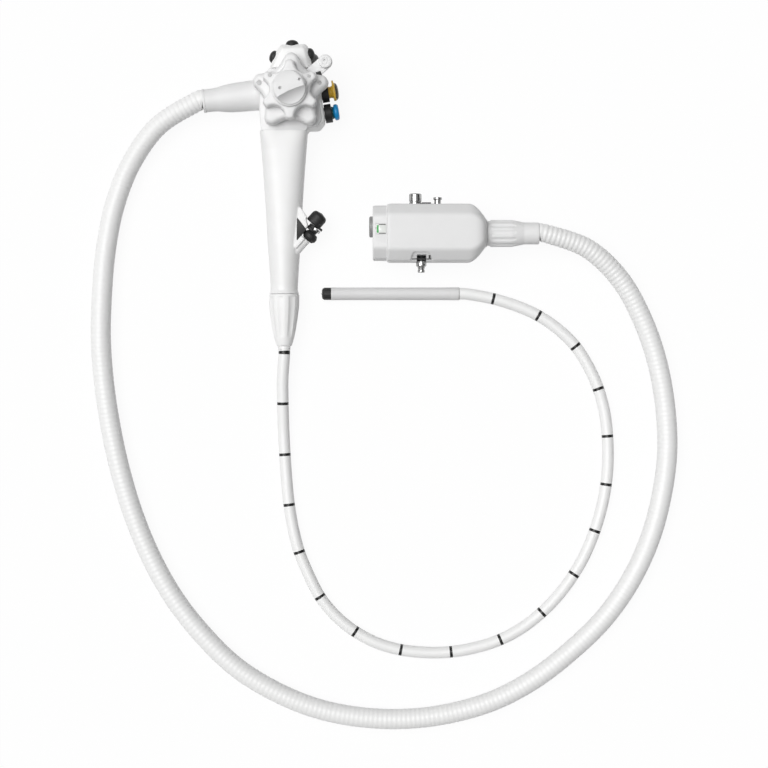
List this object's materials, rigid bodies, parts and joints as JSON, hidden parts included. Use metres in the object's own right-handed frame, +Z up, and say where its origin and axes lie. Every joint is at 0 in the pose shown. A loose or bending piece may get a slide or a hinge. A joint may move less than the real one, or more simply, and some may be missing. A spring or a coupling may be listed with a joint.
{
  "type": "flexible endoscope",
  "caption": "Flexible endoscope laid flat: control section with angulation knobs, valves and switches, insertion tube with a hinged bending section, and light source connector.",
  "frame": {"origin": "on the table, on the axis of the two angulation knobs, at the flat rear face of the control section's head", "axes": "+Z up from the table along the knob axis, -Y along the grip, +X towards the valves; the bending section's tip points to -X"},
  "size_m": [0.5834, 0.6824, 0.0838],
  "materials": {
    "black_rubber": "matte",
    "blue_plastic": "satin",
    "lens_glass": "polished",
    "light_grey_plastic": "satin",
    "pale_elastomer": "satin",
    "stainless_steel": "polished",
    "white_moulded_plastic": "satin",
    "yellow_plastic": "satin"
  },
  "bodies": {
    "endoscope": {"air_nipple": "stainless_steel", "air_water_collar": "black_rubber", "air_water_cylinder": "stainless_steel", "bending_base_ring": "stainless_steel", "biopsy_valve_body": "black_rubber", "boot_collar": "stainless_steel", "channel_mouthpiece": "stainless_steel", "chassis_plate": "stainless_steel", "connector_boot": "white_moulded_plastic", "connector_face_plate": "white_moulded_plastic", "connector_front_ring": "light_grey_plastic", "connector_housing": "white_moulded_plastic", "connector_plug": "light_grey_plastic", "grip_housing": "white_moulded_plastic", "head_cord_boot": "white_moulded_plastic", "head_front_cover": "white_moulded_plastic", "head_housing": "white_moulded_plastic", "head_top_cover": "white_moulded_plastic", "insertion_boot": "white_moulded_plastic", "insertion_tube": "pale_elastomer", "lever_stop_block": "black_rubber", "port_base_ring": "black_rubber", "port_web_insert": "black_rubber", "rubber_cuff_base": "pale_elastomer", "status_window": "lens_glass", "suction_collar": "black_rubber", "suction_cylinder": "stainless_steel", "suction_nipple": "stainless_steel", "universal_cord": "pale_elastomer", "water_nipple": "stainless_steel"},
    "ud_knob": {"ud_knob": "white_moulded_plastic", "ud_shaft": "stainless_steel"},
    "rl_knob": {"rl_knob": "white_moulded_plastic", "rl_shaft": "stainless_steel"},
    "ud_brake_lever": {"ud_brake_lever": "white_moulded_plastic"},
    "rl_brake_knob": {"rl_brake_knob": "white_moulded_plastic"},
    "suction_valve": {"suction_button": "yellow_plastic", "suction_piston": "stainless_steel"},
    "air_water_valve": {"air_water_button": "blue_plastic", "air_water_piston": "stainless_steel"},
    "biopsy_cap": {"biopsy_valve_cap": "black_rubber"},
    "switch_1": {"remote_switch_1": "black_rubber"},
    "switch_2": {"remote_switch_2": "black_rubber"},
    "switch_3": {"remote_switch_3": "black_rubber"},
    "switch_4": {"remote_switch_4": "black_rubber"},
    "vertebra_1": {"vertebra_1": "stainless_steel"},
    "vertebra_2": {"vertebra_2": "stainless_steel"},
    "vertebra_3": {"vertebra_3": "stainless_steel"},
    "vertebra_4": {"vertebra_4": "stainless_steel"},
    "vertebra_5": {"vertebra_5": "stainless_steel"},
    "vertebra_6": {"vertebra_6": "stainless_steel"},
    "vertebra_7": {"vertebra_7": "stainless_steel"},
    "vertebra_8": {"vertebra_8": "stainless_steel"},
    "distal_end": {"distal_body": "stainless_steel", "rubber_cuff_tip": "pale_elastomer", "distal_tip": "black_rubber", "objective_lens": "lens_glass", "light_lens_left": "lens_glass", "light_lens_right": "lens_glass", "air_water_nozzle": "stainless_steel"}
  },
  "joints": [
    {"name": "ud_knob_turn", "type": "hinge", "parent": "endoscope", "child": "ud_knob", "pos_m": [0, 0, 0.0426], "axis": [0, 0, 1], "range_deg": [-72, 168]},
    {"name": "rl_knob_turn", "type": "hinge", "parent": "endoscope", "child": "rl_knob", "pos_m": [0, 0, 0.0567], "axis": [0, 0, 1], "range_deg": [-80, 80]},
    {"name": "ud_brake_swing", "type": "hinge", "parent": "endoscope", "child": "ud_brake_lever", "pos_m": [0, 0, 0.0383], "axis": [0, 0, 1], "range_deg": [0, 35]},
    {"name": "rl_brake_turn", "type": "hinge", "parent": "endoscope", "child": "rl_brake_knob", "pos_m": [0, 0, 0.0703], "axis": [0, 0, 1], "range_deg": [0, 80]},
    {"name": "suction_press", "type": "slide", "parent": "endoscope", "child": "suction_valve", "axis": [-0.9875, -0.1575, 0], "range_m": [0, 0.004], "stiffness_N_per_m": 300},
    {"name": "air_water_press", "type": "slide", "parent": "endoscope", "child": "air_water_valve", "axis": [-0.9875, -0.1575, 0], "range_m": [0, 0.004], "stiffness_N_per_m": 300},
    {"name": "switch_1_press", "type": "slide", "parent": "endoscope", "child": "switch_1", "axis": [0.0226, -0.9997, 0], "range_m": [0, 0.0012], "stiffness_N_per_m": 1500},
    {"name": "switch_2_press", "type": "slide", "parent": "endoscope", "child": "switch_2", "axis": [0.9416, -0.3368, 0], "range_m": [0, 0.0012], "stiffness_N_per_m": 1500},
    {"name": "switch_3_press", "type": "slide", "parent": "endoscope", "child": "switch_3", "axis": [-0.9806, -0.1961, 0], "range_m": [0, 0.0012], "stiffness_N_per_m": 1500},
    {"name": "switch_4_press", "type": "slide", "parent": "endoscope", "child": "switch_4", "axis": [-0.9806, -0.1961, 0], "range_m": [0, 0.0012], "stiffness_N_per_m": 1500},
    {"name": "biopsy_cap_flip", "type": "hinge", "parent": "endoscope", "child": "biopsy_cap", "pos_m": [0.02891, -0.13431, 0.02], "axis": [0, 0, -1], "range_deg": [0, 130]},
    {"name": "bend_ud_1", "type": "hinge", "parent": "endoscope", "child": "vertebra_1", "pos_m": [0.1522, -0.1953, 0.0064], "axis": [0, 0.4226, 0.9063], "range_deg": [-18, 42]},
    {"name": "bend_rl_1", "type": "hinge", "parent": "vertebra_1", "child": "vertebra_2", "pos_m": [0.139, -0.1953, 0.0064], "axis": [0, 0.9063, -0.4226], "range_deg": [-25, 25]},
    {"name": "bend_ud_2", "type": "hinge", "parent": "vertebra_2", "child": "vertebra_3", "pos_m": [0.1258, -0.1953, 0.0064], "axis": [0, 0.4226, 0.9063], "range_deg": [-18, 42]},
    {"name": "bend_rl_2", "type": "hinge", "parent": "vertebra_3", "child": "vertebra_4", "pos_m": [0.1126, -0.1953, 0.0064], "axis": [0, 0.9063, -0.4226], "range_deg": [-25, 25]},
    {"name": "bend_ud_3", "type": "hinge", "parent": "vertebra_4", "child": "vertebra_5", "pos_m": [0.0994, -0.1953, 0.0064], "axis": [0, 0.4226, 0.9063], "range_deg": [-18, 42]},
    {"name": "bend_rl_3", "type": "hinge", "parent": "vertebra_5", "child": "vertebra_6", "pos_m": [0.0862, -0.1953, 0.0064], "axis": [0, 0.9063, -0.4226], "range_deg": [-25, 25]},
    {"name": "bend_ud_4", "type": "hinge", "parent": "vertebra_6", "child": "vertebra_7", "pos_m": [0.073, -0.1953, 0.0064], "axis": [0, 0.4226, 0.9063], "range_deg": [-18, 42]},
    {"name": "bend_rl_4", "type": "hinge", "parent": "vertebra_7", "child": "vertebra_8", "pos_m": [0.0598, -0.1953, 0.0064], "axis": [0, 0.9063, -0.4226], "range_deg": [-25, 25]},
    {"name": "bend_ud_5", "type": "hinge", "parent": "vertebra_8", "child": "distal_end", "pos_m": [0.0466, -0.1953, 0.0064], "axis": [0, 0.4226, 0.9063], "range_deg": [-18, 42]}
  ],
  "couplings": [
    {"joint": "bend_ud_1", "follows": "ud_knob_turn", "ratio": 0.25},
    {"joint": "bend_rl_1", "follows": "rl_knob_turn", "ratio": 0.3125},
    {"joint": "bend_ud_2", "follows": "ud_knob_turn", "ratio": 0.25},
    {"joint": "bend_rl_2", "follows": "rl_knob_turn", "ratio": 0.3125},
    {"joint": "bend_ud_3", "follows": "ud_knob_turn", "ratio": 0.25},
    {"joint": "bend_rl_3", "follows": "rl_knob_turn", "ratio": 0.3125},
    {"joint": "bend_ud_4", "follows": "ud_knob_turn", "ratio": 0.25},
    {"joint": "bend_rl_4", "follows": "rl_knob_turn", "ratio": 0.3125},
    {"joint": "bend_ud_5", "follows": "ud_knob_turn", "ratio": 0.25}
  ]
}
